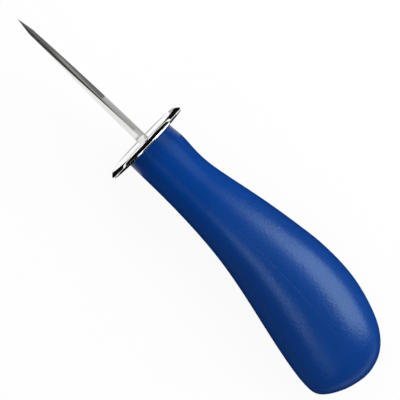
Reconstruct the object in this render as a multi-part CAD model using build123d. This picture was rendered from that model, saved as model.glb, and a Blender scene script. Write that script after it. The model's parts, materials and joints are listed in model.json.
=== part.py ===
from build123d import *
import os

# An oyster knife: a lancet blade, a round pressed guard and a moulded palm handle.
# It is drawn about the blade's axis, from the front of the guard at x = 0: the point is
# at -X, the butt of the handle at +X, the thumb's side at +Y, and the blade stands on its
# edge, with its width along Z. At the end the knife is laid on its side, as on a table.
# All lengths are in millimetres and all angles in degrees.

# Blade: a lozenge with two ridges, narrowed to a leaf by a steeper bevel along each edge
BLADE_LENGTH = 59.7
BLADE_WIDTH = 12.4
BLADE_THICKNESS = 3.8
POINT_THICKNESS = 1.5
BEVEL_ANGLE = 40.0
BLADE_STATION_SHARES = (0.0, 0.25, 0.5, 0.75, 1.0)

# Root and tang: the full section runs on through the guard, then steps down to a flat bar
ROOT_LENGTH = 9.0
TANG_LENGTH = 62.0
TANG_WIDTH = 8.0
TANG_THICKNESS = 2.6
TANG_END_RADIUS = 2.0
TANG_HOLE_DIAMETER = 3.6
TANG_HOLE_SHARES = (0.42, 0.74)

# Guard: a plate pressed to a shallow dish, with its border sloping back to a rounded rim
GUARD_DIAMETER = 34.5
GUARD_SHEET = 1.0
GUARD_DEPTH = 2.2
GUARD_BORDER_ANGLE = 40.0
GUARD_KNEE_RADIUS = 2.4

# Handle: heights are measured from the blade's axis, places from the guard's inner face
HANDLE_LENGTH = 111.6
NECK_RISE = 10.3
NECK_DROP = 9.45
NECK_THICKNESS = 20.0
SWELL_PLACE = 72.0
SWELL_RISE = 17.15
SWELL_THICKNESS = 27.0
HEEL_PLACE = 100.9
HEEL_DROP = 22.35
BUTT_DROP = 4.5
BUTT_FLAT = 0.05
PARTING_BEND_PLACE = 50.0
# From the neck to the swell or heel: shares of the way, and of the growth in height
THUMB_SHARES = ((0.125, 0.01), (0.24, -0.054), (0.355, 0.07), (0.5, 0.35), (0.7, 0.7), (0.87, 0.924))
PALM_SHARES = ((0.15, 0.0), (0.31, 0.045), (0.47, 0.175), (0.63, 0.428), (0.79, 0.735), (0.9, 0.92))
SIDE_SHARES = ((0.232, -0.08), (0.496, 0.28), (0.77, 0.78))
# From the swell or heel to the end of the butt: shares of the way, and of the change in height
CROWN_SHARES = ((0.35, 0.052), (0.6, 0.183), (0.78, 0.337), (0.935, 0.605), (0.98, 0.785), (0.995, 0.9))
HEEL_CORNER_SHARES = ((0.35, 0.08), (0.63, 0.28), (0.82, 0.51), (0.945, 0.745), (0.985, 0.88))
NECK_STATIONS = 12
BUTT_STATIONS = 12
# How far each quarter of a section bulges: 0.552 would make it a plain ellipse
SECTION_FULLNESS_SHARE = 0.6

# The tilt at which the knife lies on its guard and its swell is found by halving this range
TILT_LIMIT = 30.0
TILT_STEPS = 30

# One overrun serves every cut
OVERRUN = 1.0


def tan_of(angle):
    """The tangent of an angle in degrees."""
    slope = Vector(1, 0, 0).rotate(Axis.Z, angle)
    return slope.Y / slope.X


def section_plane(place, height=0):
    """A plane square to the blade's axis, with the thumb's side as its first direction."""
    return Plane(origin=(place, height, 0), x_dir=(0, 1, 0), z_dir=(1, 0, 0))


def lozenge(place, thickness):
    """The blade's section, with its edges at top and bottom and a ridge on each side."""
    ridge = thickness / 2
    edge = BLADE_WIDTH / 2
    corners = Polyline((ridge, 0), (0, edge), (-ridge, 0), (0, -edge), close=True)
    return section_plane(place) * make_face(corners)


def ridge_thickness(share):
    """The thickness over the ridges at a share of the way to the point, thinning on an arc."""
    return BLADE_THICKNESS - (BLADE_THICKNESS - POINT_THICKNESS) * share**2


def edge_grind(side):
    """What grinding one edge leaves: a flat double cone, widest halfway along the root."""
    setback = ROOT_LENGTH / 2
    half_width = BLADE_WIDTH / 2
    reach = ((BLADE_LENGTH + setback)**2 - setback**2 + half_width**2) / BLADE_WIDTH
    radius = (reach**2 + setback**2)**0.5
    height = BLADE_THICKNESS
    shoulder = radius - height / tan_of(BEVEL_ANGLE)
    profile = Polyline((0, -height), (shoulder, -height), (radius, 0), (shoulder, height),
                       (0, height), close=True)
    disc = revolve(make_face(profile), Axis.Y)
    return Pos(setback, 0, side * (half_width - reach)) * disc


def make_lancet():
    """The blade in front of the guard: a thinning lozenge, ground to a leaf from both edges."""
    stations = [lozenge(-share * BLADE_LENGTH, ridge_thickness(share)) for share in BLADE_STATION_SHARES]
    return loft(stations) & edge_grind(1) & edge_grind(-1)


def make_root():
    """The full section that passes through the guard and on into the handle."""
    return extrude(lozenge(0, BLADE_THICKNESS), ROOT_LENGTH)


def make_tang():
    """The flat bar inside the handle, with holes that the moulding fills."""
    length = TANG_LENGTH + OVERRUN
    bar = Box(length, TANG_THICKNESS, TANG_WIDTH, align=(Align.MIN, Align.CENTER, Align.CENTER))
    end_corners = bar.edges().filter_by(Axis.Y).group_by(Axis.X)[-1]
    bar = fillet(end_corners, TANG_END_RADIUS)
    hole = Rot(X=90) * Cylinder(TANG_HOLE_DIAMETER / 2, TANG_THICKNESS + OVERRUN)
    for share in TANG_HOLE_SHARES:
        bar -= Pos(share * length, 0, 0) * hole
    return Pos(ROOT_LENGTH - OVERRUN, 0, 0) * bar


def make_blade():
    """Blade, root and tang are one piece of steel."""
    return make_lancet() + make_root() + make_tang()


def make_guard():
    """The dished plate: a strip of sheet turned about the axis, slotted to fit the root."""
    half_sheet = GUARD_SHEET / 2
    rim_radius = GUARD_DIAMETER / 2 - half_sheet
    rim_place = GUARD_DEPTH - half_sheet
    knee_radius = rim_radius - (rim_place - half_sheet) / tan_of(GUARD_BORDER_ANGLE)
    mid_line = FilletPolyline((half_sheet, 0), (half_sheet, knee_radius), (rim_place, rim_radius),
                              radius=GUARD_KNEE_RADIUS)
    strip = trace(mid_line, GUARD_SHEET) + Pos(rim_place, rim_radius) * Circle(half_sheet)
    above_axis = Rectangle(GUARD_DEPTH + OVERRUN, GUARD_DIAMETER, align=(Align.CENTER, Align.MIN))
    strip &= Pos(GUARD_DEPTH / 2, 0) * above_axis
    return revolve(strip, Axis.X) - make_root()


def points_between(start, end, shares):
    """Points on the way from start to end, at shares of the run and of the change in height."""
    run = end[0] - start[0]
    change = end[1] - start[1]
    return [(start[0] + place * run, start[1] + height * change) for place, height in shares]


def growing_line(start, end, shares):
    """A smooth line that leaves the neck level and is level again at the swell or the heel."""
    return Spline(start, *points_between(start, end, shares), end, tangents=((1, 0), (1, 0)))


def rounding_line(start, end, shares):
    """A smooth line that starts level and turns square to the handle at the end of the butt."""
    across = (0, end[1] - start[1])
    return Spline(start, *points_between(start, end, shares), end, tangents=((1, 0), across))


def handle_lines():
    """The four lines that shape the handle: thumb's side, palm's side, half thickness, parting."""
    swell = (SWELL_PLACE, SWELL_RISE)
    heel = (HEEL_PLACE, -HEEL_DROP)
    side_swell = (SWELL_PLACE, SWELL_THICKNESS / 2)
    butt = (HANDLE_LENGTH, -BUTT_DROP)
    bend = (PARTING_BEND_PLACE, 0)
    butt_run = HANDLE_LENGTH - SWELL_PLACE
    thumb = [growing_line((0, NECK_RISE), swell, THUMB_SHARES),
             rounding_line(swell, butt, CROWN_SHARES)]
    palm = [growing_line((0, -NECK_DROP), heel, PALM_SHARES),
            rounding_line(heel, butt, HEEL_CORNER_SHARES)]
    side = [growing_line((0, NECK_THICKNESS / 2), side_swell, SIDE_SHARES),
            EllipticalCenterArc((SWELL_PLACE, 0), butt_run, side_swell[1], arc_size=90)]
    parting = [Line((0, 0), bend), TangentArc(bend, butt, tangent=(1, 0))]
    return thumb, palm, side, parting


def height_at(line, place):
    """The height at which a line along the handle crosses one place."""
    crossing = Axis((place, 0, 0), (0, 1, 0))
    points = [point for edge in line for point in edge.find_intersection_points(crossing)]
    return points[0].Y


def quarter(height, half_thickness):
    """A quarter of a section, from the parting line to the section's top or bottom."""
    bulge = SECTION_FULLNESS_SHARE
    return Bezier((0, half_thickness), (bulge * height, half_thickness),
                  (height, bulge * half_thickness), (height, 0))


def handle_section(place, thumb, palm, side, parting):
    """One egg-shaped section of the handle, widest where it crosses the parting line."""
    rise = thumb - parting
    drop = palm - parting
    quarters = [quarter(rise, side), quarter(rise, -side), quarter(drop, -side), quarter(drop, side)]
    return section_plane(place, parting) * make_face(quarters)


def station_places():
    """The places of the sections: even along the neck, then closer as the butt rounds off."""
    neck_places = [SWELL_PLACE * step / NECK_STATIONS for step in range(NECK_STATIONS)]
    run = HANDLE_LENGTH - BUTT_FLAT - SWELL_PLACE
    turns = [Vector(1, 0, 0).rotate(Axis.Z, 90 * step / BUTT_STATIONS) for step in range(BUTT_STATIONS + 1)]
    return neck_places + [SWELL_PLACE + run * turn.Y for turn in turns]


def make_handle(blade):
    """The moulding: a body lofted from neck to butt, formed round the blade's root and tang."""
    lines = handle_lines()
    sections = []
    for place in station_places():
        heights = [height_at(line, place) for line in lines]
        sections.append(handle_section(place, *heights))
    return Pos(GUARD_SHEET, 0, 0) * loft(sections) - blade


def rest_turn(guard, handle):
    """The turn about Y that brings the guard's rim and the handle's side to one level."""
    low = -TILT_LIMIT
    high = TILT_LIMIT
    for _ in range(TILT_STEPS):
        turn = Rot(Y=(low + high) / 2)
        rim = (turn * guard).bounding_box().min.Z
        side = (turn * handle).bounding_box().min.Z
        if side > rim:
            low = (low + high) / 2
        else:
            high = (low + high) / 2
    return turn


def lie_down(blade, guard, handle):
    """Lay the knife on its side, over the origin and on the plane z = 0."""
    turn = rest_turn(guard, handle)
    laid = [turn * piece for piece in (blade, guard, handle)]
    box = Compound(laid).bounding_box()
    return [Pos(-box.center().X, -box.center().Y, -box.min.Z) * piece for piece in laid]


blade = make_blade()
pieces = lie_down(blade, make_guard(), make_handle(blade))

os.makedirs("parts", exist_ok=True)
for name, piece in zip(("blade", "guard", "handle"), pieces):
    export_step(piece, f"parts/{name}.step")
    print(name, round(piece.volume, 1), "mm3", len(piece.solids()), "solid")
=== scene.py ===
# %% [markdown]
# An oyster knife, dressed for its portrait. The knife is three things on a bench: a ground steel
# blade whose tang runs back into the handle, a round pressed steel guard, and a moulded plastic
# handle shaped for the palm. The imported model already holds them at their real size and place.
# This script gives each of them a finer skin and a real finish, and sets up the studio.

# %% Load the fixed frame
import json
import math

import bmesh
import bpy
import numpy as np
from mathutils import Matrix, Vector
from mathutils.bvhtree import BVHTree


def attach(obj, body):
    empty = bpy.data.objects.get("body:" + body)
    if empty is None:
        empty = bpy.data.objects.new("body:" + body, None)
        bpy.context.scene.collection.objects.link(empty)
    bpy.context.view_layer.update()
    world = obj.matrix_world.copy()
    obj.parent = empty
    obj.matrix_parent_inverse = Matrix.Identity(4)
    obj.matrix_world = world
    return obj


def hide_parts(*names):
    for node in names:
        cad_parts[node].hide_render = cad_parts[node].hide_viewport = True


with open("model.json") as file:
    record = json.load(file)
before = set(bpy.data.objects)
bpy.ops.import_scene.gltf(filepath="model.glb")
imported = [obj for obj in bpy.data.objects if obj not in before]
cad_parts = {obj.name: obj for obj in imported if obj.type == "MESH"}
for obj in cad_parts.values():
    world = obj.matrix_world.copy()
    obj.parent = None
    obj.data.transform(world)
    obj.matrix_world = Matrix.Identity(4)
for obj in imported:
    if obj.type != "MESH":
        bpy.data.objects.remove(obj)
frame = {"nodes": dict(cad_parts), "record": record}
bpy.context.view_layer.update()

# %% [markdown]
# The knife lies tilted, on the guard's rim and the swell of the handle, so nothing on it is
# parallel to the world's axes. It is far easier to draw each piece in the knife's own axes: x
# runs back along the blade from the front of the guard, y points to the thumb's side, and z is
# square to both. The record states a flat face on the front of the guard, with its middle and
# its direction, and that is all we need to find these axes. We draw in millimetres.

# %% The knife's own axes
MM = 0.001
front_face = frame["record"]["mounts"][0]
origin = np.array(front_face["pos_m"])
backward = -Vector(front_face["axis"]).normalized()
thumbward = Vector((0, 1, 0))
sideward = backward.cross(thumbward)
knife_axes = np.array([backward, thumbward, sideward])


def to_frame(points):
    """Points in the knife's own axes and millimetres, as metres in the frame."""
    return np.asarray(points, float) * MM @ knife_axes + origin


def to_knife(points):
    """Points in metres in the frame, as millimetres in the knife's own axes."""
    return (np.asarray(points, float) - origin) @ knife_axes.T / MM


def node_points(name):
    """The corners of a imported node's mesh, in the knife's own axes."""
    return to_knife([vertex.co for vertex in frame["nodes"][name].data.vertices])


blade_points = node_points("blade")
guard_points = node_points("guard")
handle_points = node_points("handle")
blade_length = -blade_points[:, 0].min()
handle_front = handle_points[:, 0].min()
handle_end = handle_points[:, 0].max()
guard_radius = np.hypot(guard_points[:, 1], guard_points[:, 2]).max()
guard_depth = guard_points[:, 0].max()
print(f"blade {blade_length:.2f}, guard {2 * guard_radius:.2f} across, handle to {handle_end:.2f} mm")

# %% [markdown]
# Every piece below ends the same way: a list of points and faces becomes a mesh object whose
# own origin stays at the frame's origin. Faces must point outwards, for the light as well as
# for the exported files, so we let bmesh turn them. Smooth shading bends the light over each
# face, and an edge sharper than a given angle is kept crisp.

# %% A helper that makes a piece
CREASE_ANGLE = 14.0
MERGE_GAP = 0.0005


def finish_mesh(mesh, crease_angle=CREASE_ANGLE):
    """Merge doubles, turn all faces outwards and shade smoothly between the creases."""
    work = bmesh.new()
    work.from_mesh(mesh)
    bmesh.ops.remove_doubles(work, verts=work.verts, dist=MERGE_GAP * MM)
    bmesh.ops.recalc_face_normals(work, faces=work.faces)
    work.to_mesh(mesh)
    work.free()
    mesh.shade_smooth()
    mesh.set_sharp_from_angle(angle=math.radians(crease_angle))


def make_piece(name, points, faces, crease_angle=CREASE_ANGLE):
    """A new object from points in the knife's own axes and the faces between them."""
    mesh = bpy.data.meshes.new(name)
    mesh.from_pydata([tuple(point) for point in to_frame(points)], [], faces)
    finish_mesh(mesh, crease_angle)
    piece = bpy.data.objects.new(name, mesh)
    bpy.context.scene.collection.objects.link(piece)
    print(name, len(mesh.polygons), "faces")
    return piece


def tube_faces(rings, around):
    """The quads of a closed tube whose points come ring after ring."""
    faces = []
    for ring in range(rings - 1):
        for step in range(around):
            here = ring * around + step
            beside = ring * around + (step + 1) % around
            faces.append((here, beside, beside + around, here + around))
    return faces


# %% [markdown]
# The handle is one moulding that swells from a round neck to a broad, egg-shaped butt. The
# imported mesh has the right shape, but its triangles are uneven, and a long soft highlight shows
# every one of them. So we wrap a new, even skin on it. Seen from its parting line, the handle
# is a radius for each place and each direction. We measure that radius with rays, blur away the
# facets, and draw an even grid of quads through the result.

# %% Measure the handle with rays
PARTING_BEND = 51.0
PARTING_DROP = 4.5
SWELL_PLACE = 73.0
NECK_RINGS = 60
BUTT_RINGS = 48
POLE_RINGS = 2
AROUND = 144
RAY_START = 40.0
RAY_INSET = 0.01

parting_run = handle_end - PARTING_BEND
parting_radius = (parting_run**2 + PARTING_DROP**2) / (2 * PARTING_DROP)
butt_run = handle_end - SWELL_PLACE


def parting_height(place):
    """The mould's parting line: straight along the neck, then an arc down to the butt."""
    beyond = max(0.0, place - PARTING_BEND)
    return math.sqrt(parting_radius**2 - beyond**2) - parting_radius


neck_places = [handle_front + (SWELL_PLACE - handle_front) * ring / NECK_RINGS for ring in range(NECK_RINGS)]
butt_turns = [math.radians(90 * ring / BUTT_RINGS) for ring in range(BUTT_RINGS + 1 - POLE_RINGS)]
ring_places = neck_places + [SWELL_PLACE + butt_run * math.sin(turn) for turn in butt_turns]
ring_shrink = np.array([1.0] * NECK_RINGS + [math.cos(turn) for turn in butt_turns])
ray_angles = [2 * math.pi * step / AROUND for step in range(AROUND)]

handle_faces = [tuple(face.vertices) for face in frame["nodes"]["handle"].data.polygons]
handle_tree = BVHTree.FromPolygons([tuple(point) for point in handle_points], handle_faces)


def ray_radius(place, angle):
    """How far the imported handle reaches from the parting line, at one place and direction."""
    inside = min(max(place, handle_front + RAY_INSET), handle_end - RAY_INSET)
    direction = Vector((0, math.cos(angle), math.sin(angle)))
    start = Vector((inside, parting_height(inside), 0)) + RAY_START * direction
    distance = handle_tree.ray_cast(start, -direction)[3]
    return RAY_START - distance


radii = np.array([[ray_radius(place, angle) for angle in ray_angles] for place in ring_places])
print("radii from", radii.min().round(2), "to", radii.max().round(2), "mm")

# %% [markdown]
# Towards the butt the rings shrink like a sphere's, by the cosine of the turn. If we blur the
# radii divided by that cosine, the blur never pulls the round end in. What the blur still takes
# from the tight corners is blurred too and added again, which gives the corners back.

# %% Blur the facets away and draw the skin
BLUR_PASSES = 3
SKIN_DEPTH = 0.03
FRONT_EDGE_RADIUS = 0.35
FRONT_EDGE_STEPS = 5
MOULDED_CREASE_ANGLE = 60.0


def blurred(table, passes):
    """A table of radii, each mixed with its neighbours round the ring and along the handle."""
    for _ in range(passes):
        table = table / 2 + (np.roll(table, 1, axis=1) + np.roll(table, -1, axis=1)) / 4
        before = 2 * table[:1] - table[1:2]
        after = 2 * table[-1:] - table[-2:-1]
        padded = np.vstack([before, table, after])
        table = table / 2 + (padded[:-2] + padded[2:]) / 4
    return table


shares = radii / ring_shrink[:, None]
smooth_shares = blurred(shares, BLUR_PASSES)
smooth_shares += blurred(shares - smooth_shares, BLUR_PASSES)
smooth_radii = smooth_shares * ring_shrink[:, None] - SKIN_DEPTH
blur_moved = np.abs(smooth_radii + SKIN_DEPTH - radii).mean()
print("the blur moved the skin by", blur_moved.round(4), "mm on average")


def handle_ring(place, ring_radii):
    """The points of one ring round the parting line."""
    height = parting_height(place)
    return [(place, height + radius * math.cos(angle), radius * math.sin(angle))
            for radius, angle in zip(ring_radii, ray_angles)]


skin_run = butt_run - SKIN_DEPTH
skin_places = neck_places + [SWELL_PLACE + skin_run * math.sin(turn) for turn in butt_turns]
skin_points = []
for step in range(FRONT_EDGE_STEPS):
    turn = math.radians(90 * step / FRONT_EDGE_STEPS)
    inset = FRONT_EDGE_RADIUS * (1 - math.sin(turn))
    edge_place = handle_front + FRONT_EDGE_RADIUS * (1 - math.cos(turn))
    skin_points += handle_ring(edge_place, smooth_radii[0] - inset)
for place, ring_radii in zip(skin_places, smooth_radii):
    if place > handle_front + FRONT_EDGE_RADIUS:
        skin_points += handle_ring(place, ring_radii)
skin_rings = len(skin_points) // AROUND
skin_faces = tube_faces(skin_rings, AROUND)
skin_faces.append(tuple(range(AROUND)))
pole = len(skin_points)
last_ring = pole - AROUND
skin_points.append((handle_end - SKIN_DEPTH, -PARTING_DROP, 0))
skin_faces += [(last_ring + step, last_ring + (step + 1) % AROUND, pole) for step in range(AROUND)]
palm_handle = make_piece("palm_handle", skin_points, skin_faces, MOULDED_CREASE_ANGLE)

# %% [markdown]
# The guard is a disc of sheet steel, pressed to a shallow dish: a flat plate, a rounded knee, a
# border that slopes back, and a rounded rim. A mirror finish shows every facet, so the section
# has close points on its arcs, and a ring of points just beside each arc, which keeps the flat
# stretches truly flat in the reflections. The first and last rings follow the blade's section,
# so that the same quads also make the slot through which the blade passes.

# %% The guard's section
KNEE_RADIUS = 2.4
BORDER_ANGLE = 40.0
KNEE_STEPS = 12
RIM_STEPS = 18
GUARD_AROUND = 240
PLATE_RING = 8.0
BESIDE_ARC = 0.12
RIM_DEPTH = 0.002
SLOT_GAP = 0.03

sheet = handle_front
half_sheet = sheet / 2
border = math.radians(BORDER_ANGLE)
rim_middle = (guard_depth - half_sheet, guard_radius - half_sheet - RIM_DEPTH)
knee = rim_middle[1] - (rim_middle[0] - half_sheet) / math.tan(border)
knee_middle = (half_sheet + KNEE_RADIUS, knee - KNEE_RADIUS * math.tan(border / 2))


def arc_points(middle, radius, first, last, steps):
    """Points on an arc of the section, between two angles from the knife's axis."""
    turns = np.linspace(first, last, steps + 1)
    return [(middle[0] + radius * math.cos(turn), middle[1] + radius * math.sin(turn)) for turn in turns]


def joined_arcs(arcs):
    """Arcs one after another, with a point beside each end of the straight stretches."""
    line = list(arcs[0])
    for arc in arcs[1:]:
        start = Vector(line[-1])
        end = Vector(arc[0])
        step = BESIDE_ARC * (end - start).normalized()
        line += [tuple(start + step), tuple(end - step)] + list(arc)
    return line


front_knee = arc_points(knee_middle, KNEE_RADIUS + half_sheet, math.pi, math.pi - border, KNEE_STEPS)
rim = arc_points(rim_middle, half_sheet, math.pi - border, -border, RIM_STEPS)
back_knee = arc_points(knee_middle, KNEE_RADIUS - half_sheet, math.pi - border, math.pi, KNEE_STEPS)
guard_line = joined_arcs([[(0, PLATE_RING)], front_knee, rim, back_knee, [(sheet, PLATE_RING)]])
print("the guard's section has", len(guard_line), "points")

# %% The blade's root, which fills the guard's slot
root_points = blade_points[blade_points[:, 0] > 0]
root_half_thickness = np.abs(root_points[:, 1]).max()
root_half_width = np.abs(root_points[:, 2]).max()
print("the root is", (2 * root_half_thickness).round(2), "by", (2 * root_half_width).round(2), "mm")

# %% [markdown]
# The blade is ground, and grinding follows rules that we can write down. A lozenge with a ridge
# on each side thins towards the point. Then each edge is ground on a large wheel with a steeper
# slope, which narrows the lozenge to a leaf. At every place along the blade we work out where
# the wheel's cone meets the mid-plane, the cutting edge, and where it meets the lozenge, the
# shoulder of the bevel. Eight points make a ring, so each facet is one clean strip of quads.

# %% The blade's section at one place
BEVEL_ANGLE = 40.0
POINT_THICKNESS = 1.5
ROOT_LENGTH = 9.0
LEAST_BEVEL = 0.02
HALVINGS = 30

bevel_slope = math.tan(math.radians(BEVEL_ANGLE))
setback = ROOT_LENGTH / 2
blade_thickness = 2 * root_half_thickness
wheel_drop = ((blade_length + setback)**2 - setback**2 + root_half_width**2) / (2 * root_half_width)
wheel_radius = math.hypot(wheel_drop, setback)


def wheel_height(place, height):
    """Half the thickness that the wheel leaves at a place and a height above the axis."""
    middle = root_half_width - wheel_drop
    return (wheel_radius - math.hypot(place - setback, height - middle)) * bevel_slope


def blade_ring(place):
    """Edge, shoulder, ridge and shoulder again, once round the section."""
    share = max(0.0, -place / blade_length)
    ridge = (blade_thickness - (blade_thickness - POINT_THICKNESS) * share**2) / 2
    middle = root_half_width - wheel_drop
    edge = min(root_half_width, middle + math.sqrt(wheel_radius**2 - (place - setback)**2))
    low = 0.0
    high = edge
    for _ in range(HALVINGS):
        shoulder = (low + high) / 2
        if ridge * (1 - shoulder / root_half_width) < wheel_height(place, shoulder):
            low = shoulder
        else:
            high = shoulder
    shoulder = min(shoulder, edge - min(LEAST_BEVEL, edge / 4))
    depth = min(ridge * (1 - shoulder / root_half_width), wheel_height(place, shoulder))
    ridge = min(ridge, wheel_height(place, 0))
    return [(place, 0, edge), (place, depth, shoulder), (place, ridge, 0), (place, depth, -shoulder),
            (place, 0, -edge), (place, -depth, -shoulder), (place, -ridge, 0), (place, -depth, shoulder)]


print("halfway along, edge and shoulder are", [round(x, 2) for x in blade_ring(-blade_length / 2)[1]])

# %% The whole blade, with its root and tang
BLADE_RINGS = 150
RING_POINTS = 8
POINT_BLUNTNESS = 0.04
TANG_LENGTH = 62.0
TANG_WIDTH = 8.0
TANG_THICKNESS = 2.6
TANG_END_RADIUS = 2.0
TANG_CORNER_STEPS = 6
TANG_HOLE_RADIUS = 1.8
TANG_HOLE_SHARES = (0.42, 0.74)
HOLE_STEPS = 24

ring_shares = np.linspace(0, 1, BLADE_RINGS)
blade_places = [-(blade_length - POINT_BLUNTNESS) * (1 - share) for share in ring_shares] + [ROOT_LENGTH]
blade_corners = [point for place in blade_places for point in blade_ring(place)]
blade_faces = tube_faces(len(blade_places), RING_POINTS)
tip = len(blade_corners)
blade_corners.append((-blade_length, 0, 0))
blade_faces += [(tip, (step + 1) % RING_POINTS, step) for step in range(RING_POINTS)]
blade_faces.append(tuple(range(tip - RING_POINTS, tip)))
lancet_blade = make_piece("lancet_blade", blade_corners, blade_faces)


def round_points(middle, radius, first, last, steps):
    """Points on an arc, between two angles in degrees."""
    turns = [math.radians(first + (last - first) * step / steps) for step in range(steps + 1)]
    return [(middle[0] + radius * math.cos(turn), middle[1] + radius * math.sin(turn)) for turn in turns]


def tang_mesh():
    """The flat bar inside the handle: a filled flat curve with two holes, given its thickness."""
    half_width = TANG_WIDTH / 2
    corner_place = ROOT_LENGTH + TANG_LENGTH - TANG_END_RADIUS
    corner = half_width - TANG_END_RADIUS
    outline = [
        (ROOT_LENGTH, -half_width),
        *round_points((corner_place, -corner), TANG_END_RADIUS, -90, 0, TANG_CORNER_STEPS),
        *round_points((corner_place, corner), TANG_END_RADIUS, 0, 90, TANG_CORNER_STEPS),
        (ROOT_LENGTH, half_width),
    ]
    holes = []
    for share in TANG_HOLE_SHARES:
        middle = (ROOT_LENGTH + share * TANG_LENGTH, 0)
        holes.append(round_points(middle, TANG_HOLE_RADIUS, 360, 360 / HOLE_STEPS, HOLE_STEPS - 1))
    curve = bpy.data.curves.new("tang outline", "CURVE")
    curve.dimensions = "2D"
    curve.fill_mode = "BOTH"
    curve.extrude = TANG_THICKNESS / 2
    for line in [outline, *holes]:
        spline = curve.splines.new("POLY")
        spline.points.add(len(line) - 1)
        for point, (x, z) in zip(spline.points, line):
            point.co = (x, z, 0, 1)
        spline.use_cyclic_u = True
    holder = bpy.data.objects.new("tang outline", curve)
    bpy.context.scene.collection.objects.link(holder)
    bpy.context.view_layer.update()
    mesh = bpy.data.meshes.new_from_object(holder.evaluated_get(bpy.context.evaluated_depsgraph_get()))
    bpy.data.objects.remove(holder)
    corners = to_frame([(vertex.co.x, vertex.co.z, vertex.co.y) for vertex in mesh.vertices])
    for vertex, corner in zip(mesh.vertices, corners):
        vertex.co = corner
    return mesh


tang = tang_mesh()
print("the tang has", len(tang.polygons), "faces")
work = bmesh.new()
work.from_mesh(lancet_blade.data)
work.from_mesh(tang)
work.to_mesh(lancet_blade.data)
work.free()
bpy.data.meshes.remove(tang)
finish_mesh(lancet_blade.data)

# %% [markdown]
# Each finish is a small shader tree. Wiring such a tree by hand takes many lines, so we wrap an
# output socket in a class of its own, on which sums can be written as in plain Python. A sum on
# numbers adds a Math node. Any other node comes from one method, which takes the node's type,
# the values or wires of its sockets, and its settings.

# %% A wire on which sums can be written


class Wire:
    """An output socket of a shader tree. Sums on it add Math nodes to the tree."""

    def __init__(self, tree, socket=None):
        self.tree = tree
        self.socket = socket

    def node(self, kind, inputs, output=0, **settings):
        """Add any node: its settings first, then the values or wires of its sockets."""
        new = self.tree.nodes.new(kind)
        for name, value in settings.items():
            setattr(new, name, value)
        for name, value in inputs.items():
            if isinstance(value, Wire):
                self.tree.links.new(value.socket, new.inputs[name])
            else:
                new.inputs[name].default_value = value
        return Wire(self.tree, new.outputs[output])

    def math(self, operation, first, second=0.0):
        """Add one Math node. Every operator below does it through this."""
        return self.node("ShaderNodeMath", {0: first, 1: second}, operation=operation)

    def __add__(self, other):
        return self.math("ADD", self, other)

    def __radd__(self, other):
        return self.math("ADD", other, self)

    def __sub__(self, other):
        return self.math("SUBTRACT", self, other)

    def __rsub__(self, other):
        return self.math("SUBTRACT", other, self)

    def __mul__(self, other):
        return self.math("MULTIPLY", self, other)

    def __rmul__(self, other):
        return self.math("MULTIPLY", other, self)

    def __truediv__(self, other):
        return self.math("DIVIDE", self, other)

    def __rtruediv__(self, other):
        return self.math("DIVIDE", other, self)

    def __abs__(self):
        return self.math("ABSOLUTE", self)

    def parts(self):
        """The three numbers of a vector, each on a wire of its own."""
        return [self.node("ShaderNodeSeparateXYZ", {0: self}, output=axis) for axis in range(3)]

    def between(self, low, high):
        """0 below low, 1 above high, and a smooth rise between."""
        inputs = {"Value": self, "From Min": low, "From Max": high}
        return self.node("ShaderNodeMapRange", inputs, interpolation_type="SMOOTHSTEP")

    def blend(self, first, second):
        """The first colour where this mask is 0, and the second where it is 1."""
        inputs = {0: self, 6: first, 7: second}
        return self.node("ShaderNodeMix", inputs, output=2, data_type="RGBA")


def new_finish(name, **sockets):
    """A material with one Principled shader, its constant sockets set, and a wire to build on."""
    material = bpy.data.materials.new(name)
    material.use_nodes = True
    shader = material.node_tree.nodes["Principled BSDF"]
    for socket, value in sockets.items():
        shader.inputs[socket.replace("_", " ")].default_value = value
    places = material.node_tree.nodes.new("ShaderNodeTexCoord").outputs["Object"]
    return material, shader, Wire(material.node_tree, places)


def plug(shader, socket, wire):
    """Lead a wire into a socket of the shader."""
    wire.tree.links.new(wire.socket, shader.inputs[socket])


def noise(places, scale, detail=2.0, roughness=0.5):
    """Noise between 0 and 1 at a scale in cells per metre."""
    inputs = {"Vector": places, "Scale": scale, "Detail": detail, "Roughness": roughness}
    return places.node("ShaderNodeTexNoise", inputs)


def along_knife(places, scale):
    """Places turned to the knife's own axes and stretched, so that a pattern can follow it."""
    tilt = math.atan2(backward.z, backward.x)
    turned = places.node("ShaderNodeVectorRotate", {"Vector": places, "Angle": tilt}, rotation_type="Y_AXIS")
    return places.node("ShaderNodeVectorMath", {0: turned, 1: scale}, operation="MULTIPLY")


# %% [markdown]
# The handle's plastic is a deep blue polypropylene with a fine matt grain, which the mould
# leaves all over. The grain is a bump less than a tenth of a millimetre deep. It is what breaks
# up the long highlights. The colour itself hardly varies, but the gloss does. The palm polishes
# the swell, while the neck stays as matt as it came from the mould, so both highlights fade
# towards the guard.

# %% The matt blue plastic
PLASTIC_BLUE = (0.0006, 0.040, 0.232, 1.0)
PLASTIC_DEEP = (0.0005, 0.037, 0.214, 1.0)
PLASTIC_SHEEN = (0.56, 0.80, 0.92, 1.0)
PLASTIC_CLOUDS = 45.0
PLASTIC_IOR = 1.49
NECK_GLOSS = 0.12
SWELL_GLOSS = 0.58
MATT_UP_TO = 24.0
POLISHED_FROM = 60.0
PLASTIC_ROUGHNESS = 0.25
PLASTIC_HANDLING = 0.06
HANDLING_PATCHES = 160.0
GRAIN_FINENESS = 1000.0
GRAIN_DEPTH = 0.08
PATCH_STARTS = 0.3
PATCH_FULL = 0.7


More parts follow.
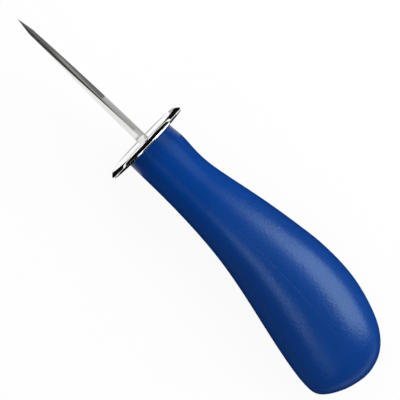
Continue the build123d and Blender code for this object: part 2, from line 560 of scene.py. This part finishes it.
def plastic_finish():
    """Deep blue with a matt grain: a dull shader at the neck, and a glossier one at the swell."""
    material, glossy, places = new_finish("matt_blue_plastic", IOR=PLASTIC_IOR,
                                          Specular_IOR_Level=SWELL_GLOSS, Specular_Tint=PLASTIC_SHEEN)
    clouds = noise(places, PLASTIC_CLOUDS).between(PATCH_STARTS, PATCH_FULL)
    handled = noise(places, HANDLING_PATCHES, detail=4.0)
    grain = noise(places, GRAIN_FINENESS, detail=3.0, roughness=0.6)
    bump = {"Height": grain, "Strength": 1.0, "Distance": GRAIN_DEPTH * MM}
    varied = {
        "Base Color": clouds.blend(PLASTIC_DEEP, PLASTIC_BLUE),
        "Roughness": PLASTIC_ROUGHNESS + PLASTIC_HANDLING * handled,
        "Normal": places.node("ShaderNodeBump", bump),
    }
    for socket, wire in varied.items():
        plug(glossy, socket, wire)
    even = {"IOR": PLASTIC_IOR, "Specular IOR Level": NECK_GLOSS, "Specular Tint": PLASTIC_SHEEN}
    dull = places.node("ShaderNodeBsdfPrincipled", {**even, **varied})
    matt_end, polished_start = to_frame([(MATT_UP_TO, 0, 0), (POLISHED_FROM, 0, 0)])[:, 0]
    swell = places.parts()[0].between(matt_end, polished_start)
    shaders = {0: swell, 1: dull, 2: Wire(material.node_tree, glossy.outputs[0])}
    mixed = places.node("ShaderNodeMixShader", shaders)
    plug(material.node_tree.nodes["Material Output"], "Surface", mixed)
    return material


# %% [markdown]
# The blade is ground across its length and then wiped bright, which leaves fine lines that run
# from edge to edge. The guard is polished like a mirror. Even a good polish is never quite flat:
# a faint waviness bends the reflections, and wiping leaves hair scratches.

# %% The two steels
GROUND_STEEL = (0.82, 0.82, 0.81, 1.0)
SMEARED_STEEL = (0.76, 0.76, 0.75, 1.0)
POLISHED_STEEL = (0.94, 0.94, 0.935, 1.0)
WORN_STEEL = (0.89, 0.89, 0.88, 1.0)

LINES_SCALE = (9000.0, 500.0, 500.0)
SMEARS_SCALE = (60.0, 300.0, 300.0)
GROUND_ROUGHNESS = 0.09
LINES_ROUGHNESS = 0.07
LINES_STRENGTH = 0.10
LINES_DEPTH = 0.006

SCRATCHES_SCALE = (400.0, 400.0, 7000.0)
WORN_PATCHES = 220.0
WORN_STARTS = 0.55
WORN_FULL = 0.75
POLISHED_ROUGHNESS = 0.035
WORN_ROUGHNESS = 0.05
WAVES_SCALE = 140.0
WAVES_STRENGTH = 0.25
WAVES_DEPTH = 0.02
SCRATCHES_SHARE = 0.004


def ground_finish():
    """Fine grinding lines from edge to edge, and faint smears along the blade."""
    material, shader, places = new_finish("ground_steel", Metallic=1.0)
    lines = noise(along_knife(places, LINES_SCALE), 1.0, detail=4.0, roughness=0.7)
    smears = noise(along_knife(places, SMEARS_SCALE), 1.0)
    shade = smears.between(PATCH_STARTS, PATCH_FULL)
    plug(shader, "Base Color", shade.blend(SMEARED_STEEL, GROUND_STEEL))
    plug(shader, "Roughness", GROUND_ROUGHNESS + LINES_ROUGHNESS * lines)
    bump = {"Height": lines, "Strength": LINES_STRENGTH, "Distance": LINES_DEPTH * MM}
    plug(shader, "Normal", places.node("ShaderNodeBump", bump))
    return material


def polished_finish():
    """A mirror polish with slight waves, and worn patches that hold the hair scratches."""
    material, shader, places = new_finish("polished_steel", Metallic=1.0)
    scratches = noise(along_knife(places, SCRATCHES_SCALE), 1.0, detail=3.0)
    worn = noise(places, WORN_PATCHES).between(WORN_STARTS, WORN_FULL)
    plug(shader, "Base Color", worn.blend(POLISHED_STEEL, WORN_STEEL))
    plug(shader, "Roughness", POLISHED_ROUGHNESS + WORN_ROUGHNESS * worn * scratches)
    waves = noise(places, WAVES_SCALE, detail=1.0)
    height = waves + SCRATCHES_SHARE * scratches
    bump = {"Height": height, "Strength": WAVES_STRENGTH, "Distance": WAVES_DEPTH * MM}
    plug(shader, "Normal", places.node("ShaderNodeBump", bump))
    return material


plastic = plastic_finish()
ground = ground_finish()
polished = polished_finish()
for piece, finish in ((palm_handle, plastic), (lancet_blade, ground)):
    piece.data.materials.clear()
    piece.data.materials.append(finish)
print("finishes", [finish.name for finish in (plastic, ground, polished)])

# %% [markdown]
# Where the two halves of the mould met, the plastic leaves a hair-thin raised line down each
# side of the handle and round the butt. It follows a path, so Geometry Nodes make it: the path
# becomes a curve, a small circle is swept along it, and noise makes the line swell and fade as
# it does on a worn mould. The result is turned into a plain mesh at once.

# %% The parting line's path and tree
FLASH_RADIUS = 0.10
FLASH_SINK = 0.065
FLASH_BUTT_SINK = 0.060
FLASH_UNEVENNESS = 0.9
FLASH_PATCHES = 300.0
FLASH_SIDES = 8


def flash_path():
    """Just under the skin where the mould's halves meet: down one side, round the butt and back."""
    near_side = []
    for place, row, shrink in zip(skin_places, smooth_radii, ring_shrink):
        if place > handle_front + FRONT_EDGE_RADIUS:
            rounding = math.sqrt(1 - shrink**2)
            sink = FLASH_SINK + FLASH_BUTT_SINK * rounding
            depth = row[AROUND // 4] - sink * shrink
            near_side.append((place - sink * rounding, parting_height(place), depth))
    far_side = [(place, height, -depth) for place, height, depth in near_side]
    butt = (handle_end - SKIN_DEPTH - FLASH_SINK - FLASH_BUTT_SINK, -PARTING_DROP, 0)
    return near_side + [butt] + far_side[::-1]


def new_tree(name, sizes):
    """An empty Geometry Nodes tree with a geometry going in and out, and named sizes."""
    tree = bpy.data.node_groups.new(name, "GeometryNodeTree")
    tree.interface.new_socket("Geometry", in_out="INPUT", socket_type="NodeSocketGeometry")
    for size in sizes:
        tree.interface.new_socket(size, in_out="INPUT", socket_type="NodeSocketFloat")
    tree.interface.new_socket("Geometry", in_out="OUTPUT", socket_type="NodeSocketGeometry")
    given = tree.nodes.new("NodeGroupInput").outputs
    return tree, {name: Wire(tree, given[name]) for name in ("Geometry", *sizes)}


def set_sizes(modifier, sizes):
    """Set a modifier's inputs, which are known by their sockets' identifiers."""
    for socket in modifier.node_group.interface.items_tree:
        if socket.name in sizes:
            modifier[socket.identifier] = sizes[socket.name]


def end_tree(tree, geometry, finish):
    """End a tree as every tree here ends: real geometry with its material."""
    real = geometry.node("GeometryNodeRealizeInstances", {"Geometry": geometry})
    painted = real.node("GeometryNodeSetMaterial", {"Geometry": real, "Material": finish})
    tree.links.new(painted.socket, tree.nodes.new("NodeGroupOutput").inputs[0])


def grow(name, tree, sizes, points, edges, crease_angle):
    """Run a tree on a row of points, and keep the result as a plain mesh object."""
    path_mesh = bpy.data.meshes.new(name)
    path_mesh.from_pydata([tuple(point) for point in points], edges, [])
    holder = bpy.data.objects.new(name, path_mesh)
    bpy.context.scene.collection.objects.link(holder)
    modifier = holder.modifiers.new(name, "NODES")
    modifier.node_group = tree
    set_sizes(modifier, sizes)
    bpy.context.view_layer.update()
    mesh = bpy.data.meshes.new_from_object(holder.evaluated_get(bpy.context.evaluated_depsgraph_get()))
    bpy.data.objects.remove(holder)
    bpy.data.meshes.remove(path_mesh)
    finish = mesh.materials[-1]
    mesh.materials.clear()
    mesh.materials.append(finish)
    mesh.name = name
    finish_mesh(mesh, crease_angle)
    piece = bpy.data.objects.new(name, mesh)
    bpy.context.scene.collection.objects.link(piece)
    print(name, len(mesh.polygons), "faces")
    return piece


flash_sizes = {"Radius": FLASH_RADIUS * MM, "Unevenness": FLASH_UNEVENNESS, "Patches": FLASH_PATCHES}
flash_tree, given = new_tree("flash line", flash_sizes)
path = given["Geometry"].node("GeometryNodeMeshToCurve", {"Mesh": given["Geometry"]})
patches = path.node("ShaderNodeTexNoise", {"Scale": given["Patches"], "Detail": 2.0})
thickness = given["Radius"] * (1 + given["Unevenness"] * (patches - 0.5))
circle = path.node("GeometryNodeCurvePrimitiveCircle", {"Resolution": FLASH_SIDES, "Radius": 1.0})
swept = {"Curve": path, "Profile Curve": circle, "Scale": thickness, "Fill Caps": True}
end_tree(flash_tree, path.node("GeometryNodeCurveToMesh", swept), plastic)

# %% Grow the parting line
flash_points = to_frame(flash_path())
flash_edges = [(step, step + 1) for step in range(len(flash_points) - 1)]
parting_line = grow("parting_line", flash_tree, flash_sizes, flash_points, flash_edges, MOULDED_CREASE_ANGLE)

# %% [markdown]
# The guard follows a rule: its section, turned round the knife's axis. That could be a Spin or a
# Screw modifier, but the slot for the blade would then need a boolean cut, which leaves ragged
# triangles in a mirror finish. Geometry Nodes do both at once. A grid has one row for each point
# of the section. Its other direction becomes the turn, and each row takes its place and its
# radius from that point. Rows marked as slot take the radius of the blade's lozenge instead.

# %% The guard's tree
SLOT_MARK = 1.0
MIRROR_CREASE_ANGLE = 35.0

guard_section = [(0, 0, SLOT_MARK)]
guard_section += [(place * MM, radius * MM, 0) for place, radius in guard_line]
guard_section += [(sheet * MM, 0, SLOT_MARK), (0, 0, SLOT_MARK)]
guard_sizes = {
    "Around": float(GUARD_AROUND),
    "Rings": float(len(guard_section)),
    "Slot Half Thickness": (root_half_thickness + SLOT_GAP) * MM,
    "Slot Half Width": (root_half_width + SLOT_GAP) * MM,
}
guard_tree, given = new_tree("turned guard", guard_sizes)
section = given["Geometry"]
rows = {"Size X": 1.0, "Size Y": 1.0, "Vertices X": given["Around"] + 1, "Vertices Y": given["Rings"]}
grid = section.node("GeometryNodeMeshGrid", rows)
position = section.node("GeometryNodeInputPosition", {})
across, down, _ = position.parts()
row = (down + 0.5) * (given["Rings"] - 1)
row = row.math("ROUND", row)
sampled = {"Geometry": section, "Value": position, "Index": row}
place, radius, mark = section.node("GeometryNodeSampleIndex", sampled, data_type="FLOAT_VECTOR").parts()
turned = (across + 0.5) * (2 * math.pi)
cosine = turned.math("COSINE", turned)
sine = turned.math("SINE", turned)
slot_radius = 1 / (abs(cosine) / given["Slot Half Thickness"] + abs(sine) / given["Slot Half Width"])
reach = radius + mark * slot_radius
corner = section.node("ShaderNodeCombineXYZ", {0: place, 1: reach * cosine, 2: reach * sine})
shaped = section.node("GeometryNodeSetPosition", {"Geometry": grid, "Position": corner})
closed = section.node("GeometryNodeMergeByDistance", {"Geometry": shaped, "Distance": MERGE_GAP * MM})
end_tree(guard_tree, closed, polished)

# %% Grow the guard, and turn it from the knife's axes to the frame's
guard_plate = grow("guard_plate", guard_tree, guard_sizes, guard_section, [], MIRROR_CREASE_ANGLE)
knife_to_frame = Matrix.Translation(Vector(origin)) @ Matrix(knife_axes.T.tolist()).to_4x4()
guard_plate.data.transform(knife_to_frame)
print("the guard is", [round(1000 * side, 2) for side in guard_plate.dimensions], "mm")

# %% [markdown]
# Every piece now moves with one body, and the imported node that it replaces is hidden. The knife
# has no joints, so it is all one body, the root.

# %% Tie the pieces to the frame
for piece, node, slot in ((lancet_blade, "blade", "blade_steel"), (guard_plate, "guard", "guard_steel"),
                          (palm_handle, "handle", "handle_plastic")):
    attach(piece, "root")
    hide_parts(node)
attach(parting_line, "root")
print("on the root", [piece.name for piece in (lancet_blade, guard_plate, palm_handle, parting_line)])

# %% [markdown]
# The studio. The floor and the world are white wherever the camera, a reflection or a ray
# through glass sees them, and dimmer for the light that they throw on the knife, so that the
# colours are not washed out. The floor keeps a share of its plain white paint, and that share
# holds the knife's soft shadow.

# %% Floor and world
FLOOR_WHITE = 0.88
FLOOR_GLOW_SHARE = 0.93
FLOOR_HALF = 3.0
WORLD_LIGHT = 0.47


def seen_directly(tree):
    """1 for camera, glossy and transmission rays, and 0 for the rest."""
    rays = tree.nodes.new("ShaderNodeLightPath").outputs
    camera, glossy, through = (Wire(tree, rays[name]) for name in
                               ("Is Camera Ray", "Is Glossy Ray", "Is Transmission Ray"))
    return camera.math("MAXIMUM", camera.math("MAXIMUM", camera, glossy), through)


def floor_finish():
    """White glow for the camera and for reflections, mixed with a share of plain white paint."""
    material = bpy.data.materials.new("white_floor")
    material.use_nodes = True
    tree = material.node_tree
    tree.nodes.clear()
    seen = seen_directly(tree)
    paint = seen.node("ShaderNodeBsdfDiffuse", {"Color": (FLOOR_WHITE, FLOOR_WHITE, FLOOR_WHITE, 1.0)})
    glow = seen.node("ShaderNodeEmission", {"Color": (1.0, 1.0, 1.0, 1.0), "Strength": 1.0})
    mixed = seen.node("ShaderNodeMixShader", {0: seen * FLOOR_GLOW_SHARE, 1: paint, 2: glow})
    end = tree.nodes.new("ShaderNodeOutputMaterial")
    tree.links.new(mixed.socket, end.inputs["Surface"])
    return material


def stage_sheet(name, corners):
    """A flat sheet of the stage, from its four corners in metres."""
    mesh = bpy.data.meshes.new(name)
    mesh.from_pydata(corners, [], [(0, 1, 2, 3)])
    sheet_object = bpy.data.objects.new(name, mesh)
    bpy.context.scene.collection.objects.link(sheet_object)
    return sheet_object


floor_corners = [(-FLOOR_HALF, -FLOOR_HALF, 0), (FLOOR_HALF, -FLOOR_HALF, 0),
                 (FLOOR_HALF, FLOOR_HALF, 0), (-FLOOR_HALF, FLOOR_HALF, 0)]
floor = stage_sheet("floor", floor_corners)
floor.data.materials.append(floor_finish())

world = bpy.data.worlds.new("white_studio")
bpy.context.scene.world = world
world.use_nodes = True
backdrop = world.node_tree.nodes["Background"]
backdrop.inputs["Color"].default_value = (1.0, 1.0, 1.0, 1.0)
seen = seen_directly(world.node_tree)
strength = WORLD_LIGHT + (1 - WORLD_LIGHT) * seen
world.node_tree.links.new(strength.socket, backdrop.inputs["Strength"])
print("the floor is", 2 * FLOOR_HALF, "m across, and the world lights the knife at", WORLD_LIGHT)

# %% [markdown]
# Polished steel looks like whatever stands round it, and in an all-white room it looks like
# nothing at all. A photographer therefore sets dark cards just outside the picture. Here they
# are seen by reflections alone, so they cast no shadow, hide nothing from the camera, and may
# lie inside the picture too. Each card glows with its own even grey, whatever light falls on it,
# so the dark or grey that it shows in the steel and the plastic is a painted reflection.

# %% What the cards are made of
BLACK = 0.004
CARD_LIFT = 0.0005


def painted_reflection_finish(grey):
    """A sheet that glows with one even grey, whatever light falls on it: a painted reflection."""
    material = bpy.data.materials.new("painted_reflection_grey")
    material.use_nodes = True
    tree = material.node_tree
    tree.nodes.clear()
    sheen = Wire(tree).node("ShaderNodeEmission", {"Color": (grey, grey, grey, 1.0), "Strength": 1.0})
    end = tree.nodes.new("ShaderNodeOutputMaterial")
    tree.links.new(sheen.socket, end.inputs["Surface"])
    return material


def painted_reflection_card(name, corners, grey):
    """A glowing card that only reflections see, which paints a dark or grey reflection."""
    card = stage_sheet(name, corners)
    card.data.materials.append(painted_reflection_finish(grey))
    card.visible_camera = False
    card.visible_diffuse = False
    card.visible_shadow = False
    card.visible_transmission = False


# %% [markdown]
# Each facet of the steel mirrors one patch of the floor, so a small card on that patch shades
# that facet alone. The flanks of the blade mirror the floor close beside it. The bevels, which
# face further up, mirror it some 110 mm away on either side. The border of the guard mirrors the
# floor far ahead, and its two ends mirror patches halfway between the guard and the point. The
# two grey strips just before the guard and the black sheet under the handle are painted shade:
# they put the floor's shade there into the reflections.

# %% Cards on the floor: their ends along x, their edges across y, and their grey
FLOOR_CARDS = {
    "card_left_bevel": (-0.400, -0.032, -0.700, -0.070, 0.045),
    "card_right_bevel": (-0.078, -0.032, 0.075, 0.800, 0.32),
    "card_right_bevel_tip": (-0.400, -0.078, 0.075, 0.800, 0.14),
    "card_right_flank": (-0.046, -0.0258, 0.0155, 0.0185, 0.42),
    "card_right_flank_tip": (-0.084, -0.046, 0.0105, 0.0185, 0.16),
    "card_lower_wedge": (-0.070, -0.0302, -0.042, -0.0150, BLACK),
    "card_upper_wedge": (-0.070, -0.0302, 0.0187, 0.042, BLACK),
    # Painted shade: two grey strips on the floor just before the guard, where its shade would lie.
    "painted_shade_knee_line": (-0.0301, -0.0291, -0.0075, 0.0150, 0.30),
    "painted_shade_before_guard": (-0.0279, -0.0270, -0.0140, 0.0150, 0.45),
    # Painted shade: a black sheet under the handle, where the handle's shade would lie.
    "painted_shade_under_handle": (-0.018, 0.150, -0.090, 0.090, BLACK),
    "card_thumb_side": (-0.030, 0.600, 0.092, 0.800, BLACK),
    "card_palm_side": (-0.030, 0.600, -0.700, -0.092, BLACK),
}

for name, (x_low, x_high, y_low, y_high, grey) in FLOOR_CARDS.items():
    flat = [(x_low, y_low), (x_high, y_low), (x_high, y_high), (x_low, y_high)]
    painted_reflection_card(name, [(x, y, CARD_LIFT) for x, y in flat], grey)
print(len(FLOOR_CARDS), "cards lie on the floor")

# %% [markdown]
# The guard's border mirrors a dark fan that opens ahead of it, up to a wall. The plastic wants a
# dark tent, so that its colour stays deep and the lamps stand out in it. The tent's roof is
# narrower than the tent and ends just past the knife's point. The white sky beyond that end is
# the middle part of the thin white line along the guard's rim.

# %% The fan ahead, and the tent round the handle
AHEAD_NEAR = -0.085
AHEAD_NEAR_HALF = 0.050
AHEAD_FAR = -0.600
AHEAD_FAR_HALF = 0.350
AHEAD_HEIGHT = 0.750
ROOF_HALF = 0.450
TENT_FRONT = -0.100
TENT_BACK = 1.200
TENT_THUMB = 0.900
TENT_PALM = -0.700
TENT_HEIGHT = 0.950
LEAF_END = -1.100
LEAF_GREY = 0.25


def upright(ends, height):
    """The corners of a sheet that stands on the floor between two places."""
    return [(*ends[0], 0), (*ends[1], 0), (*ends[1], height), (*ends[0], height)]


fan = [(AHEAD_NEAR, -AHEAD_NEAR_HALF), (AHEAD_NEAR, AHEAD_NEAR_HALF),
       (AHEAD_FAR, AHEAD_FAR_HALF), (AHEAD_FAR, -AHEAD_FAR_HALF)]
roof = [(TENT_FRONT, -ROOF_HALF), (TENT_BACK, -ROOF_HALF), (TENT_BACK, ROOF_HALF), (TENT_FRONT, ROOF_HALF)]
back_corners = [(TENT_BACK, TENT_PALM), (TENT_BACK, TENT_THUMB)]
painted_reflection_card("card_fan", [(x, y, CARD_LIFT) for x, y in fan], BLACK)
painted_reflection_card("card_wall_ahead", upright(fan[2:], AHEAD_HEIGHT), BLACK)
painted_reflection_card("card_roof", [(x, y, TENT_HEIGHT) for x, y in roof], BLACK)
painted_reflection_card("card_back_wall", upright(back_corners, TENT_HEIGHT), BLACK)
painted_reflection_card("card_palm_wall", upright([(LEAF_END, TENT_PALM), back_corners[0]], TENT_HEIGHT), BLACK)
painted_reflection_card("card_thumb_wall", upright([back_corners[1], (TENT_FRONT, TENT_THUMB)], TENT_HEIGHT), BLACK)
leaf_ends = [(TENT_FRONT, TENT_THUMB), (LEAF_END, TENT_THUMB)]
painted_reflection_card("card_thumb_leaf", upright(leaf_ends, AHEAD_HEIGHT), LEAF_GREY)
print("the tent's roof is", TENT_BACK - TENT_FRONT, "m long and", TENT_HEIGHT, "m up")

# %% [markdown]
# Three soft boxes light the knife. The large one stands past the butt on the thumb's side and
# gives the broad highlight on the swell. A smaller one stands ahead of the point and carries
# that highlight on towards the neck. The narrow one hangs high on the palm's side and draws the
# thin second line down the handle. All three face the same spot on the swell.

# %% Soft boxes
SOFT_BOXES = {
    "key_box": ((0.26, 0.47, 0.38), 0.64, 0.48, 3.4),
    "fill_box": ((-0.35, 0.26, 0.46), 0.30, 0.24, 0.9),
    "strip_box": ((0.0, -0.27, 0.64), 0.60, 0.08, 0.35),
}
SWELL_SPOT = (82.0, 5.0, 12.0)
AIM = to_frame([SWELL_SPOT])[0]


def soft_box(name, middle, width, height, power):
    """A rectangular lamp that faces the handle."""
    lamp = bpy.data.lights.new(name, "AREA")
    lamp.shape = "RECTANGLE"
    lamp.size = width
    lamp.size_y = height
    lamp.energy = power
    holder = bpy.data.objects.new(name, lamp)
    bpy.context.scene.collection.objects.link(holder)
    holder.location = middle
    holder.rotation_euler = (Vector(middle) - Vector(AIM)).to_track_quat("Z", "Y").to_euler()
    holder.visible_camera = False
    return holder


for name, settings in SOFT_BOXES.items():
    soft_box(name, *settings)
print(len(SOFT_BOXES), "soft boxes face the swell")

# %% [markdown]
# The camera looks down on the knife from far off with a long lens, leaning a little towards the
# point, so that the guard shows as a thin ellipse with its front turned to us. The knife runs
# down and to the right in the picture.

# %% Camera
CAMERA_DISTANCE = 1.5
PICTURE_WIDTH = 0.13770
LOOK_AT = (28.685, -1.383, 0.0)
LEAN_TO_POINT = 1.969
LEAN_TO_THUMB = 0.285
PICTURE_TURN = 43.886

lean = math.radians(LEAN_TO_POINT)
side_lean = math.radians(LEAN_TO_THUMB)
turn = math.radians(PICTURE_TURN)
look_at = Vector(to_frame([LOOK_AT])[0])
towards = Vector((
    -math.sin(lean) * math.cos(side_lean),
    math.sin(side_lean),
    math.cos(lean) * math.cos(side_lean),
))
level = (backward - towards * backward.dot(towards)).normalized()
rise = towards.cross(level)
right = math.cos(turn) * level + math.sin(turn) * rise
up = -math.sin(turn) * level + math.cos(turn) * rise

camera_data = bpy.data.cameras.new("camera")
camera = bpy.data.objects.new("camera", camera_data)
bpy.context.scene.collection.objects.link(camera)
camera_data.lens = camera_data.sensor_width * CAMERA_DISTANCE / PICTURE_WIDTH
camera_place = Matrix.Translation(look_at + CAMERA_DISTANCE * towards)
camera_turn = Matrix((right, up, towards)).transposed().to_4x4()
camera.matrix_world = camera_place @ camera_turn
bpy.context.scene.camera = camera
bpy.context.scene.view_settings.view_transform = "Standard"
print("lens", round(camera_data.lens), "mm at", CAMERA_DISTANCE, "m")

# %% [markdown]
# Last, the scene is brought up to date. The new skins lie on the imported solids or just inside
# them, so the dressed knife's box and the imported one's should agree to a tenth of a millimetre.

# %% Bring the scene up to date
bpy.context.view_layer.update()
